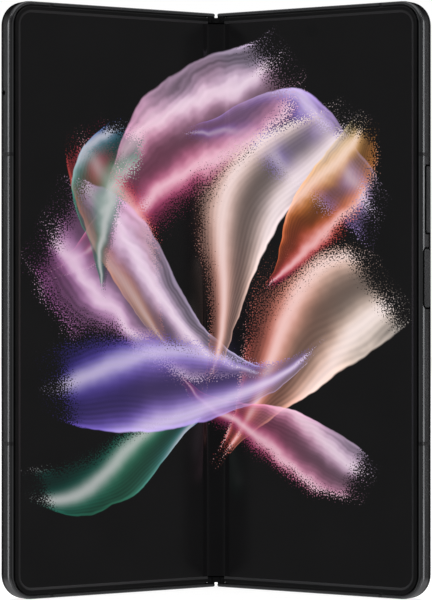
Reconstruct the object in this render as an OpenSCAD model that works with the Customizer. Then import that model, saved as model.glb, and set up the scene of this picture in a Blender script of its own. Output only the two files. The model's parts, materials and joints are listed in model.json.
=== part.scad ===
// Book-style folding phone with an inner folding display, an outer cover display
// and a geared dual-axis hinge.
//
// Frame: +Z up, the device stands on the bottom rails of its two halves and is
// opened like a book towards -Y. Origin at the middle of the footprint.
// Each half is modelled flat, in its own coordinates:
//   x  distance from the fold line, outwards
//   y  depth from the outer face of the folding display, positive into the body
//   z  height, 0 at the bottom rail
// and is then turned about its own hinge axis by half of the fold.

/* [Overall] */
// Height of the device
body_h = 158.2; // [150:0.1:165]
// Width of one half, from the fold line to the outer edge, when flat
half_w = 64.05; // [62:0.05:68]
// Depth of one half behind the face of the folding display
back_y = 6.1; // [6.0:0.05:6.6]
// Corner radius of the outline
corner_r = 6.5; // [5.5:0.1:8]
// How far each half is turned in from flat in the modelled pose
rest_angle = 32.7; // [5:0.1:60]

/* [Rail and bezel] */
// How far the soft bezel stands above the display
bezel_up = 0.30; // [0.2:0.01:0.4]
// How far the metal lip stands above the display
lip_up = 0.15; // [0.1:0.01:0.2]
// Width of the metal lip around the bezel
lip_w = 0.92; // [0.85:0.01:1.15]
// Distance of the bezel's outer wall from the outer edge
bezel_out = 1.45; // [1.2:0.01:1.5]
// Distance of the bezel's inner edge from the outer edge
bezel_in = 3.1; // [2.8:0.05:3.4]
// Width of the front rounding of the rail
rail_rf = 0.36; // [0.2:0.01:0.4]
// Depth of the front rounding of the rail
rail_ry = 1.05; // [0.8:0.01:1.1]
// Depth to which the front of the rail's side is tilted forward
rail_tilt_y = 1.3; // [1.2:0.05:2.0]
// Width of the rear rounding of the rail
rail_rb = 1.5; // [1.2:0.05:1.5]
// Depth of the rear rounding of the rail
rail_rby = 1.9; // [1.5:0.1:2.1]
// Thickness of the rail wall
wall_t = 2.2; // [1.8:0.1:2.6]

/* [Hinge] */
// Distance of each hinge axis from the fold line
axis_x = 1.7; // [1.65:0.01:1.75]
// Radius of the spine about each hinge axis
spine_r = 5.0; // [4.95:0.01:5.02]
// Gap of each half's inner edge from the fold line when flat
edge_gap = 0.2; // [0.08:0.01:0.2]
// Height of the lower hinge module above the bottom rail
module_z = 27; // [24:0.5:32]
// Module of the hinge gears
gear_m = 0.24; // [0.235:0.005:0.245]

/* [Keys] */
// Gap round the keys
key_gap = 0.4; // [0.1:0.01:0.45]
// Distance of the volume key's upper end from the top
vol_top = 43.7; // [40:0.1:46]
// Length of the volume key
vol_len = 17.7; // [14:0.1:19]
// Distance of the power key's upper end from the top
pow_top = 65.5; // [65:0.1:70]
// Length of the power key
pow_len = 15.6; // [10:0.1:16]

/* [Rear camera] */
// Width of the camera housing
cam_w = 16.4; // [15:0.2:18]
// Distance between lens centres
cam_pitch = 13.6; // [13:0.1:14.5]
// Height of the housing above the rear glass
cam_up = 1.0; // [0.6:0.1:1.4]

/* [Hidden] */
$fn = 64;

H = body_h;
W = half_w;
rc = corner_r;
th = rest_angle;
a = axis_x;
seat_y = 0.6;                 // frame face that carries the display stack
plate_y = 1.5;                // rear face of the frame's mid plate
glass_t = 0.55;               // outer glass of both backs
glass_y = back_y - glass_t;   // inner face of the outer glass
panel_in = 2.0;               // edge of the display panel, inwards from the outer edge
fold_b = 4.0;                 // half width of the part of the display that bends
wing_x = 8.6;                 // outer edge of the wing plates
cav_x = 7.0;                  // width of the space for the spine in each half
cav_y = 5.3;                  // depth of that space
end_t = 0.9;                  // end walls of the halves over the spine
spine_z = 1.2;                // ends of the spine, from top and bottom
spine_flat = spine_r - 0.05;   // flat back of the spine
tip_y = 1.9;                  // front edge of the spine's sides

// The pose in which the part is modelled, centred on the footprint.
y_front = min([for (q = rail_profile()) -(W - a - q[0]) * sin(th) + q[1] * cos(th)]);
y_back = (a - edge_gap) * sin(th) + back_y * cos(th);
y_mid = -(y_front + y_back) / 2;

module whole() { translate([0, y_mid, 0]) children(); }
module on_right() { whole() translate([a, 0, 0]) rotate([0, 0, -th]) translate([-a, 0, 0]) children(); }
module on_left() { whole() mirror([1, 0, 0]) translate([a, 0, 0]) rotate([0, 0, -th]) translate([-a, 0, 0]) children(); }
module both_ends() { children(); translate([0, 0, H]) mirror([0, 0, 1]) children(); }
// Turns a shape drawn along Z so that it lies along the depth, y.
module deep(y0) { translate([0, y0, 0]) rotate([-90, 0, 0]) children(); }

function oval_pts(c, rx, ry, a0, a1, n) = [for (i = [0:n]) [c[0] + rx * cos(a0 + (a1 - a0) * i / n), c[1] + ry * sin(a0 + (a1 - a0) * i / n)]];
function arc_pts(c, r, a0, a1, n) = oval_pts(c, r, r, a0, a1, n);
function smooth(t) = t <= 0 ? 0 : t >= 1 ? 1 : t * t * (3 - 2 * t);
// Turns a point of the right half about its hinge axis by an angle.
function turned(p, ang) = [a + (p[0] - a) * cos(ang) + p[1] * sin(ang), -(p[0] - a) * sin(ang) + p[1] * cos(ang)];

// Outline of a half in x and z, inset from the outer edge, from x0 outwards.
function outline(x0, inset) = let (r = rc - inset) concat(
    [[x0, inset]], arc_pts([W - rc, rc], r, 270, 360, 10),
    arc_pts([W - rc, H - rc], r, 0, 90, 10), [[x0, H - inset]]);
module slab(x0, inset, y0, y1) {
    translate([0, y1, 0]) rotate([90, 0, 0]) linear_extrude(y1 - y0) polygon(outline(x0, inset));
}
module box(x0, x1, y0, y1, z0, z1) { translate([x0, y0, z0]) cube([x1 - x0, y1 - y0, z1 - z0]); }
module rod(x, z, r, y0, y1) { translate([x, y1, z]) rotate([90, 0, 0]) cylinder(r = r, h = y1 - y0); }
// Sweeps a profile of [distance inwards, depth] along the three outer sides of a half.
module rim(p, x0) {
    translate([0, 0, rc]) linear_extrude(H - 2 * rc) polygon([for (q = p) [W - q[0], q[1]]]);
    both_ends() {
        translate([W - rc, 0, rc]) rotate([-90, 0, 0]) rotate_extrude(angle = 90) polygon([for (q = p) [rc - q[0], q[1]]]);
        translate([x0, 0, 0]) rotate([0, 90, 0]) linear_extrude(W - rc - x0) polygon([for (q = p) [-q[0], q[1]]]);
    }
}
function rail_profile() = concat([[lip_w, seat_y], [lip_w, -lip_up]],
    oval_pts([rail_rf + 0.035, rail_ry - lip_up], rail_rf, rail_ry, 270, 186, 7),
    [[0, rail_tilt_y]],
    oval_pts([rail_rb, back_y - rail_rby], rail_rb, rail_rby, 180, 90, 10),
    [[rail_rb, glass_y], [wall_t, glass_y], [wall_t, seat_y]]);
// Rounds the corner of a half where its end walls meet the fold line.
module fold_corner(r) {
    both_ends() translate([edge_gap, -1, 0]) difference() {
        translate([-1, 0, -1]) cube([1 + r, 9, 1 + r]);
        translate([r, 9.5, r]) rotate([90, 0, 0]) cylinder(r = r, h = 10);
    }
}

vol_z1 = H - vol_top;  vol_z0 = vol_z1 - vol_len;  vol_y0 = 1.95;  vol_y1 = 4.35;
pow_z1 = H - pow_top;  pow_z0 = pow_z1 - pow_len;  pow_y0 = 1.40;  pow_y1 = 4.80;
break_w = 1.0;
break_top = H - 41.2;
break_low = 40.8;
break_x = 51;
usb_x = 30.5;
usb_y = 3.25;
udc_x = 30.3;                // camera behind the folding display
udc_z = H - 6.4;
cam_x = 50.6;
cam_z = H - 33.5;
function cam_zs() = [cam_z + cam_pitch, cam_z, cam_z - cam_pitch];
cam_back = back_y + cam_up;
board_y = 2.3;
board_t = 0.8;
function board_screws() = [[12, H - 8], [12, H - 47], [39, H - 47], [39, H - 10]];
function sub_screws() = [[12.5, 12], [36, 12], [17.5, 27], [36, 27]];
function speaker_screws() = [[59.2, 6.2], [58.6, 21.0]];
function module_zs() = [module_z, H - module_z];
function flex_zs() = [H / 2 - 20, H / 2 + 12];
flex_w = 12;
tray_z = H - 31;
tray_y = 3.55;
tray_h = 2.0;
tray_l = 16.4;
selfie_x = 33.2;
selfie_z = H - 7.6;
// A rounded slot through the depth of the rail, along z.
module rail_slot(y0, y1, z0, z1, r, d) {
    translate([W + 1, 0, 0]) rotate([0, -90, 0]) linear_extrude(d + 1)
        translate([z0, y0]) union() {
            translate([r, 0]) square([z1 - z0 - 2 * r, y1 - y0]);
            translate([0, r]) square([z1 - z0, y1 - y0 - 2 * r]);
            for (p = [[r, r], [z1 - z0 - r, r], [r, y1 - y0 - r], [z1 - z0 - r, y1 - y0 - r]]) translate(p) circle(r = r);
        }
}
module stadium(x0, x1, z0, z1, y0, y1) {
    r = (x1 - x0) / 2;
    rod(x0 + r, z0 + r, r, y0, y1);
    rod(x0 + r, z1 - r, r, y0, y1);
    box(x0, x1, y0, y1, z0 + r, z1 - r);
}

// ---------------------------------------------------------------- frames
module frame_body() {
    difference() {
        union() {
            rim(rail_profile(), edge_gap);
            slab(cav_x, 1.7, seat_y, plate_y);
            // wall beside the spine, and the strip behind it
            box(cav_x, cav_x + 1.2, seat_y, glass_y, 1.4, H - 1.4);
            box(edge_gap, 1.9, cav_y, back_y, 0.6, H - 0.6);
            box(1.9, cav_x + 0.1, cav_y, glass_y, 0.6, H - 0.6);
            for (z = module_zs()) box(cav_x + 0.1, 14, plate_y - 0.1, 2.2, z - 7.2, z + 7.2);
        }
        // space for the spine
        box(-1, cav_x, plate_y, cav_y, end_t, H - end_t);
        box(-1, 2.3, -1, plate_y + 0.5, end_t, H - end_t);
        // seats of the wing plate and of the hinge arms
        box(-1, wing_x + 0.1, 0, 0.95, wall_t, H - wall_t);
        for (z = module_zs()) {
            box(-1, 13.0, 0, plate_y, z - 6.2, z + 6.2);
            for (k = [-4.3, 4.3]) rod(10.6, z + k, 0.6, 1, 2.05);
        }
        // slots for the flexible cables
        for (z = flex_zs()) box(cav_x - 0.5, cav_x + 1.3, plate_y, 2.3, z - 0.3, z + flex_w + 0.3);
        fold_corner(0.6);
    }
}
module bosses(list, top) {
    for (p = list) rod(p[0], p[1], 1.5, plate_y - 0.1, top);
}
module boss_bores(list, top) {
    for (p = list) rod(p[0], p[1], 0.7, 1.1, top + 1);
}
module side_breaks() {
    for (z = [break_top, break_low]) translate([0, 0, z]) linear_extrude(break_w)
        polygon([for (q = rail_profile()) [W - q[0], q[1]]]);
    both_ends() translate([break_x, 0, 0]) rotate([0, 90, 0]) linear_extrude(break_w)
        polygon([for (q = rail_profile()) [-q[0], q[1]]]);
}
module break_slots() {
    for (z = [break_top, break_low]) box(W - wall_t, W + 1, -1, 7, z, z + break_w);
    both_ends() box(break_x, break_x + break_w, -1, 7, -1, wall_t);
}

module right_frame() {
    color([0.20, 0.21, 0.22]) on_right() difference() {
        union() {
            frame_body();
            bosses(board_screws(), board_y);
            bosses(speaker_screws(), board_y);
        }
        boss_bores(board_screws(), board_y);
        boss_bores(speaker_screws(), board_y);
        break_slots();
        // key slots, recessed around the power key
        rail_slot(vol_y0 - key_gap, vol_y1 + key_gap, vol_z0 - key_gap, vol_z1 + key_gap, 1.0, 1.2);
        rail_slot(pow_y0 - key_gap, pow_y1 + key_gap, pow_z0 - key_gap, pow_z1 + key_gap, 1.2, 1.2);
        rail_slot(pow_y0 - 0.85, pow_y1 + key_gap, pow_z0 - key_gap, pow_z1 + key_gap, 1.6, 0.5);
        box(W - 2.6, W - 1.1, 2.5, 4.1, vol_z0 + 1.2, vol_z1 - 1.2);
        box(W - 2.6, W - 1.1, 2.2, 3.8, pow_z0 + 1.6, pow_z1 - 1.6);
        // charging port, speaker outlets and microphone at the bottom
        translate([usb_x - 4.52, usb_y, -1]) port_bar(9.04, 3.36, 4);
        for (i = [0:4]) translate([usb_x + 9.5 + i * 2.2, usb_y, -1]) cylinder(r = 0.55, h = 4);
        translate([usb_x - 8.5, usb_y, -1]) cylinder(r = 0.4, h = 4);
        // microphone in the top rail
        translate([usb_x, usb_y, H - 3]) cylinder(r = 0.4, h = 4);
        // camera behind the display
        rod(udc_x, udc_z, 2.05, 0, 3);
    }
}
module left_frame() {
    color([0.20, 0.21, 0.22]) on_left() difference() {
        union() {
            frame_body();
            bosses(sub_screws(), board_y);
        }
        boss_bores(sub_screws(), board_y);
        break_slots();
        // slot of the card tray
        rail_slot(tray_y - tray_h / 2 - 0.06, tray_y + tray_h / 2 + 0.06, tray_z - tray_l / 2 - 0.06, tray_z + tray_l / 2 + 0.06, 0.6, 3);
        // speaker outlets in the top rail, microphone at the bottom
        for (i = [0:4]) translate([44 + i * 1.9, usb_y, H - 3]) cylinder(r = 0.5, h = 4);
        for (i = [0:4]) translate([33 + i * 2.2, usb_y, -1]) cylinder(r = 0.55, h = 4);
        translate([24, usb_y, -1]) cylinder(r = 0.4, h = 4);
    }
}
module right_antenna_breaks() { color([0.13, 0.13, 0.14]) on_right() side_breaks(); }
module left_antenna_breaks() { color([0.13, 0.13, 0.14]) on_left() side_breaks(); }

// ---------------------------------------------------------------- display stack
module bezel_body() {
    p = [[bezel_out, 0.08 - bezel_up], [bezel_out + 0.1, -bezel_up], [bezel_in - 0.7, -bezel_up],
         [bezel_in, 0], [panel_in, 0], [panel_in, seat_y], [bezel_out, seat_y]];
    rim(p, 2.45);
}
module display_body() { slab(fold_b, panel_in, 0, 0.4); }
module backing_body() { slab(fold_b + 0.05, panel_in + 0.2, 0.4, seat_y); }
module wing_body() { box(fold_b + 0.1, wing_x, seat_y, 0.95, wall_t + 0.1, H - wall_t - 0.1); }
module brush_body() { box(0.25, 1.15, 5.08, cav_y, 4, H - 4); }

module right_bezel() { color([0.09, 0.09, 0.10]) on_right() bezel_body(); }
module left_bezel() { color([0.09, 0.09, 0.10]) on_left() bezel_body(); }
module right_display_panel() { color([0.85, 0.45, 0.65]) on_right() display_body(); }
module left_display_panel() { color([0.35, 0.45, 0.85]) on_left() display_body(); }
module right_backing_plate() {
    color([0.55, 0.56, 0.58]) on_right() difference() { backing_body(); rod(udc_x, udc_z, 1.7, 0, 2); }
}
module left_backing_plate() { color([0.55, 0.56, 0.58]) on_left() backing_body(); }
module right_wing_plate() { color([0.62, 0.63, 0.65]) on_right() wing_body(); }
module left_wing_plate() { color([0.62, 0.63, 0.65]) on_left() wing_body(); }
module right_brush_strip() { color([0.05, 0.05, 0.05]) on_right() brush_body(); }
module left_brush_strip() { color([0.05, 0.05, 0.05]) on_left() brush_body(); }

// The bending part of the display: each point turns about its hinge axis by a
// share of the fold that grows smoothly from the fold line to the flat panels.
function fold_pt(x, y) = let (s = x < 0 ? -1 : 1, p = turned([abs(x), y], th * smooth(abs(x) / fold_b))) [s * p[0], p[1]];
fold_n = 20;
module inner_display_fold() {
    front = [for (i = [-fold_n:fold_n]) fold_pt(i * fold_b / fold_n, 0)];
    rear = [for (i = [fold_n:-1:-fold_n]) fold_pt(i * fold_b / fold_n, 0.4)];
    color([0.55, 0.35, 0.75]) whole() translate([0, 0, bezel_in + 0.05])
        linear_extrude(H - 2 * bezel_in - 0.1) polygon(concat(front, rear));
}

// ---------------------------------------------------------------- spine
screw_x = 3.75;   // screw of each bearing block, across and along from the module's middle
screw_k = -3.5;
spine_in = spine_r - 0.4;
module spine_2d(r, flat, y0) {
    intersection() {
        union() {
            for (s = [-1, 1]) translate([s * a, 0]) circle(r = r);
            translate([-a, 0]) square([2 * a, r - 0.01]);
        }
        translate([-9, y0]) square([18, flat - y0]);
    }
}
module spine_cover() {
    color([0.16, 0.17, 0.18]) whole() difference() {
        translate([0, 0, spine_z]) linear_extrude(H - 2 * spine_z) spine_2d(spine_r, spine_flat, tip_y);
        translate([0, 0, spine_z + 0.9]) linear_extrude(H - 2 * spine_z - 1.8) spine_2d(spine_in, spine_flat - 0.4, tip_y - 1);
        for (z = module_zs()) for (s = [-1, 1]) translate([-s * screw_x, 0, z + s * screw_k]) rotate([-90, 0, 0]) cylinder(r = 0.31, h = 4.31);
    }
}
// Gear train: one toothed arc on each half, four equal gears between them.
arc_teeth = 18;
gear_teeth = 8;
gear_r = gear_m * gear_teeth / 2;
arc_r = gear_m * arc_teeth / 2;
add = 0.85 * gear_m;
ded = 1.12 * gear_m;
gear_x = 3 * gear_r;
gear_y = sqrt(pow(arc_r + gear_r, 2) - pow(gear_x - a, 2));
mesh_ang = atan2(gear_y, gear_x - a);
fold_all = 90.5;
arc_last = mesh_ang + fold_all;          // the arc's last tooth is at the mesh when closed
shaft_r = 0.36;
slide_r0 = 3.92;
slide_r1 = 4.45;
core_r = 3.86;

// Outline of a toothed wheel or of part of one.
function tooth(c, n, r, k) = let (p = 90 / n * 0.84, t = p * 0.50, b = p * 1.30)
    [[r - ded, c - b], [r - 0.3 * ded, c - p * 1.06], [r, c - p], [r + add * 0.6, c - (p * 0.3 + t * 0.7)], [r + add, c - t],
     [r + add, c + t], [r + add * 0.6, c + (p * 0.3 + t * 0.7)], [r, c + p], [r - 0.3 * ded, c + p * 1.06], [r - ded, c + b]];
function polar(list) = [for (q = list) [q[0] * cos(q[1]), q[0] * sin(q[1])]];
module wheel_2d(n, r, phase) {
    polygon(polar([for (i = [0:n - 1]) each tooth(phase + i * 360 / n, n, r, i)]));
}
// Where the first gear's gap must point so that it meets the right arc in this pose.
arc_near = arc_last - th - mesh_ang;      // arc's tooth, measured from the mesh
off0 = arc_near - 360 / arc_teeth * round(arc_near / (360 / arc_teeth));
gap1 = mesh_ang + 180 - off0 * arc_teeth / gear_teeth;
half_p = 180 / gear_teeth;
tooth1 = gap1 + half_p;
gap2 = 180 - tooth1;                      // next gear, mirrored and half a pitch on
tooth2 = gap2 + half_p;
gap3 = 180 - tooth2;
tooth3 = gap3 + half_p;
gap4 = 180 - tooth3;
tooth4 = gap4 + half_p;
plane_a = [-1.6, -0.6];
plane_b = [-0.5, 0.5];
block_z0 = -5.2;
block_z1 = -1.8;

module gear_set(x, phase, side) {
    // side -1: arc and shaft below the middle plane; 1: above it; the outer gears are long
    outer = abs(x) > 2;
    for (z = module_zs()) translate([x, gear_y, z]) mirror([0, 0, side > 0 ? 1 : 0]) {
        translate([0, 0, outer ? plane_a[0] : plane_b[0]])
            linear_extrude(plane_b[1] - (outer ? plane_a[0] : plane_b[0])) wheel_2d(gear_teeth, gear_r, phase);
        translate([0, 0, outer ? -7.3 : block_z0 - 0.2]) cylinder(r = shaft_r, h = outer ? 5.75 : 4.95);
    }
}
module right_pinion() { color([0.78, 0.72, 0.55]) whole() gear_set(gear_x, tooth1, -1); }
module right_idler() { color([0.78, 0.72, 0.55]) whole() gear_set(gear_r, tooth2, -1); }
module left_idler() { color([0.78, 0.72, 0.55]) whole() gear_set(-gear_r, tooth3, 1); }
module left_pinion() { color([0.78, 0.72, 0.55]) whole() gear_set(-gear_x, tooth4, 1); }

// Sector of a ring about the right hinge axis, from angle a0 to a1.
module sector(r0, r1, a0, a1, z0, z1) {
    translate([a, 0, z0]) rotate([0, 0, a0]) rotate_extrude(angle = a1 - a0) translate([r0, 0]) square([r1 - r0, z1 - z0]);
}
arm_top = 0.97;
module arm(extra) {
    // extra: turn of the toothed arc by half a pitch, so that the gears' count closes
    z0 = -5.0; z1 = -2.0;
    difference() {
        union() {
            box(5.55, 12.9, arm_top, plate_y, -6.0, -0.6);
            box(cav_x, 12.9, arm_top, plate_y, -6.0, 6.0);
            // sliding ring, carried round the spine's core
            sector(slide_r0, slide_r1, 13.5, 142, z0, z1);
            // toothed arc
            translate([0, 0, plane_a[0]]) linear_extrude(plane_a[1] - plane_a[0]) difference() {
                union() {
                    translate([a, 0]) intersection() {
                        polygon(concat([[0, 0]], polar([for (i = [0:5]) each tooth(arc_last - extra - (5 - i) * 20, arc_teeth, arc_r, i)])));
                        translate([-5, 0]) square(10);
                    }
                    translate([a + 0.9, arm_top]) square([5, plate_y - arm_top]);
                }
                translate([a, 0]) circle(r = 1.15);
                translate([a, -1]) square([5, 1 + 0.9]);
                translate([-5, -1]) square([5 + a + 0.01, 1 + 0.62]);
            }
        }
        for (k = [-4.3, 4.3]) rod(10.6, k, 0.68, 0, 2);
    }
}
module right_hinge_arms() {
    color([0.70, 0.70, 0.72]) on_right() for (z = module_zs()) translate([0, 0, z]) arm(0);
}
module left_hinge_arms() {
    color([0.70, 0.70, 0.72]) on_left() for (z = module_zs()) translate([0, 0, z]) mirror([0, 0, 1]) arm(10);
}
module bracket_block() {
    // core inside the right half's sliding ring, with the rest of the spine's width beyond it
    difference() {
        translate([0, 0, block_z0]) linear_extrude(block_z1 - block_z0) difference() {
            spine_2d(spine_in - 0.06, spine_flat - 0.44, 1.75);
            difference() {
                translate([a, 0]) circle(r = 4.8);
                translate([a, 0]) circle(r = core_r);
                translate([-9, -1]) square([18, 1]);
            }
        }
        // shafts carried in this block
        for (x = [gear_x, gear_r]) translate([x, gear_y, block_z0 - 1]) cylinder(r = shaft_r + 0.04, h = 6);
        translate([-screw_x, 0, screw_k]) rotate([-90, 0, 0]) { cylinder(r = 0.34, h = 6); cylinder(r = 0.70, h = 2.2); }
    }
}
module hinge_brackets() {
    color([0.60, 0.61, 0.63]) whole() for (z = module_zs()) translate([0, 0, z]) {
        bracket_block();
        mirror([1, 0, 0]) mirror([0, 0, 1]) bracket_block();
    }
}
module disc_springs() {
    color([0.65, 0.62, 0.52]) whole() for (z = module_zs()) for (s = [-1, 1])
        translate([s * gear_x, gear_y, z]) mirror([0, 0, s > 0 ? 0 : 1]) for (i = [0:5])
            translate([0, 0, block_z0 - 0.32 - i * 0.3]) difference() {
                cylinder(r = 1.05, h = 0.24);
                translate([0, 0, -1]) cylinder(r = shaft_r + 0.06, h = 3);
            }
}
module hinge_screws() {
    color([0.45, 0.46, 0.48]) whole() for (z = module_zs()) for (s = [-1, 1])
        translate([-s * screw_x, 0, z + s * screw_k]) rotate([-90, 0, 0]) {
            translate([0, 0, 1.85]) cylinder(r = 0.62, h = 0.34);
            translate([0, 0, 2.1]) cylinder(r = 0.30, h = 2.19);
        }
}
module center_plate() {
    color([0.70, 0.71, 0.73]) whole() for (r = [[3.4, module_z - 7.6], [module_z + 7.6, H - module_z - 7.6], [H - module_z + 7.6, H - 3.4]])
        box(-1.5, 1.5, 1.0, 1.25, r[0], r[1]);
}
module crease_caps() {
    color([0.22, 0.22, 0.23]) whole() both_ends() {
        difference() {
            box(-1, 1, -0.2, 1.6, 0.94, 2.8);
            box(-0.42, 0.42, -1, 2, 0.9, 1.5);
        }
        // round ends over the two hinge axes
        for (s = [-1, 1]) translate([s * a, 0, 0.94]) cylinder(r = 0.72, h = 1.86);
    }
}
module hinge_flex_cables() {
    color([0.75, 0.50, 0.20]) whole() for (z = flex_zs()) translate([0, 0, z]) linear_extrude(flex_w) flex_2d();
}
module flex_2d() {
    p = concat([for (x = [8.1, 7.4, 6.9]) turned([x, 1.75], th)], [[4.6, 2.3], [3.2, 3.1], [1.2, 3.4]]);
    q = concat(p, [for (i = [len(p) - 1:-1:0]) [-p[i][0], p[i][1]]]);
    t = 0.12;
    polygon(concat([for (v = q) v], [for (i = [len(q) - 1:-1:0]) [q[i][0], q[i][1] + t]]));
}

// ---------------------------------------------------------------- right half, inside and back
module port_bar(w, h, len) {
    // round-ended bar along z, standing on its end
    translate([h / 2, 0, 0]) cylinder(r = h / 2, h = len);
    translate([w - h / 2, 0, 0]) cylinder(r = h / 2, h = len);
    translate([h / 2, -h / 2, 0]) cube([w - h, h, len]);
}
module rear_glass() {
    color([0.06, 0.06, 0.07]) on_right() difference() {
        slab(1.95, rail_rb + 0.05, glass_y, back_y);
        stadium(cam_x - cam_w / 2 - 0.05, cam_x + cam_w / 2 + 0.05, cam_z - cam_pitch - cam_w / 2 - 0.05, cam_z + cam_pitch + cam_w / 2 + 7.05, glass_y - 1, back_y + 1);
    }
}
flash_z = cam_z + cam_pitch + 8.6;
module camera_housing() {
    color([0.15, 0.15, 0.16]) on_right() difference() {
        stadium(cam_x - cam_w / 2, cam_x + cam_w / 2, cam_z - cam_pitch - cam_w / 2, cam_z + cam_pitch + cam_w / 2 + 7, glass_y - 0.35, cam_back);
        for (z = cam_zs()) { rod(cam_x, z, 5.9, glass_y, cam_back + 1); rod(cam_x, z, 4.3, 3, 8); }
        rod(cam_x, flash_z, 1.9, 3, 8);
    }
}
module camera_lens_rings() {
    color([0.35, 0.35, 0.37]) on_right() for (z = cam_zs()) difference() {
        rod(cam_x, z, 5.85, glass_y, cam_back + 0.25);
        rod(cam_x, z, 5.1, glass_y + 0.5, cam_back + 1);
        rod(cam_x, z, 4.3, glass_y - 1, cam_back + 1);
    }
}
module camera_lens_covers() {
    color([0.05, 0.06, 0.09]) on_right() for (z = cam_zs()) rod(cam_x, z, 5.05, glass_y + 0.55, cam_back + 0.1);
}
module camera_modules() {
    color([0.12, 0.12, 0.13]) on_right() for (z = cam_zs()) {
        box(cam_x - 5, cam_x + 5, plate_y + 0.1, 4.6, z - 5.2, z + 5.2);
        rod(cam_x, z, 3.9, 4.5, glass_y + 0.45);
    }
}
module flash_window() {
    color([0.95, 0.93, 0.85]) on_right() rod(cam_x, flash_z, 1.85, glass_y - 0.3, cam_back);
}
module main_board() {
    color([0.10, 0.28, 0.20]) on_right() difference() {
        union() {
            box(9.5, 42.5, board_y, board_y + board_t, H - 51, H - 4.4);
            box(14, 23, board_y + board_t, board_y + board_t + 1.0, H - 13, H - 6);
            box(24.2, 27, board_y + board_t, board_y + board_t + 0.8, H - 12, H - 9);
        }
        for (p = board_screws()) rod(p[0], p[1], 0.85, 2, 4);
        rod(udc_x, udc_z, 2.5, 2, 5);
    }
}
module board_shields() {
    color([0.72, 0.73, 0.75]) on_right() {
        box(14.5, 27.5, board_y + board_t, 4.7, H - 33, H - 16);
        box(29, 41.5, board_y + board_t, 4.7, H - 36, H - 16);
        box(14.5, 36.5, board_y + board_t, 4.5, H - 45, H - 37.5);
    }
}
module right_battery() { color([0.18, 0.19, 0.21]) on_right() box(10, 57, plate_y + 0.05, 4.9, 40, 102); }
module charging_coil() {
    color([0.72, 0.42, 0.25]) on_right() difference() {
        rod(33.5, 72, 21.5, 4.95, 5.35);
        rod(33.5, 72, 10.5, 4, 6);
    }
}
module bottom_speaker() {
    color([0.11, 0.11, 0.12]) on_right() difference() {
        union() { box(37, 57, plate_y + 0.1, 5.2, 3.0, 17.5); box(55, 61, plate_y + 0.9, 4.8, 12, 24.5); }
        for (p = [speaker_screws()[1]]) rod(p[0], p[1], 1.6, 0, 9);
    }
}
module usb_board() {
    color([0.10, 0.28, 0.20]) on_right() { box(20.5, 35.5, 4.95, 5.35, 2.6, 20); box(22, 34, 3.0, 4.95, 9, 17); }
}
module usb_port() {
    color([0.70, 0.71, 0.73]) on_right() translate([usb_x - 4.47, usb_y, 0.5]) difference() {
        port_bar(8.94, 3.26, 7.2);
        translate([0.35, 0, -1]) port_bar(8.24, 2.56, 7.6);
    }
}
module vibration_motor() { color([0.60, 0.60, 0.62]) on_right() box(10, 18.5, plate_y + 0.05, 4.6, 4, 17); }
module key_switches() {
    color([0.80, 0.66, 0.30]) on_right() for (z = [vol_z0 + 4.5, vol_z1 - 4.5, (pow_z0 + pow_z1) / 2]) {
        box(W - 3.0, W - 2.7, 2.0, 4.6, z - 2.2, z + 2.2);
        translate([W - 2.71, 3.1, z]) rotate([0, 90, 0]) cylinder(r = 1.0, h = 0.30);
    }
}
module under_display_camera() {
    color([0.08, 0.08, 0.10]) on_right() { rod(udc_x, udc_z, 1.95, seat_y + 0.1, 2.2); rod(udc_x, udc_z, 2.3, 2.15, 4.6); }
}
module magnets() { for (z = [30, 62, 104]) box(W - 5.0, W - 3.2, plate_y + 0.05, 4.0, z, z + 10); }
module right_magnets() { color([0.55, 0.55, 0.58]) on_right() magnets(); }
module left_magnets() { color([0.55, 0.55, 0.58]) on_left() magnets(); }
module board_screw(p, top) { rod(p[0], p[1], 0.66, 1.2, top + 0.01); rod(p[0], p[1], 1.2, top, top + 0.55); }
module arm_screws() {
    for (z = module_zs()) for (k = [-4.3, 4.3]) {
        rod(10.6, z + k, 0.57, 0.94, 2.0);
        rod(10.6, z + k, 1.0, 0.66, 0.95);
    }
}
module right_screws() {
    color([0.50, 0.51, 0.53]) on_right() {
        for (p = board_screws()) board_screw(p, board_y + board_t);
        for (p = speaker_screws()) board_screw(p, board_y);
        arm_screws();
    }
}

// Keys: a cap in the rail and a stem that reaches its switch.
module key_cap(y0, y1, z0, z1, x0, x1, r) {
    intersection() {
        rail_slot(y0, y1, z0, z1, r, W);
        box(x0, x1, -1, 9, z0 - 1, z1 + 1);
    }
}
module volume_key() {
    color([0.22, 0.23, 0.24]) on_right() {
        key_cap(vol_y0, vol_y1, vol_z0, vol_z1, W - 0.75, W + 0.2, 0.9);
        for (z = [vol_z0 + 4.5, vol_z1 - 4.5]) box(W - 2.1, W - 0.7, 2.7, 3.7, z - 1, z + 1);
    }
}
module power_key() {
    color([0.16, 0.17, 0.18]) on_right() {
        key_cap(pow_y0, pow_y1, pow_z0, pow_z1, W - 0.8, W - 0.1, 1.1);
        box(W - 2.1, W - 0.75, 2.6, 3.6, (pow_z0 + pow_z1) / 2 - 1, (pow_z0 + pow_z1) / 2 + 1);
    }
}

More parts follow.
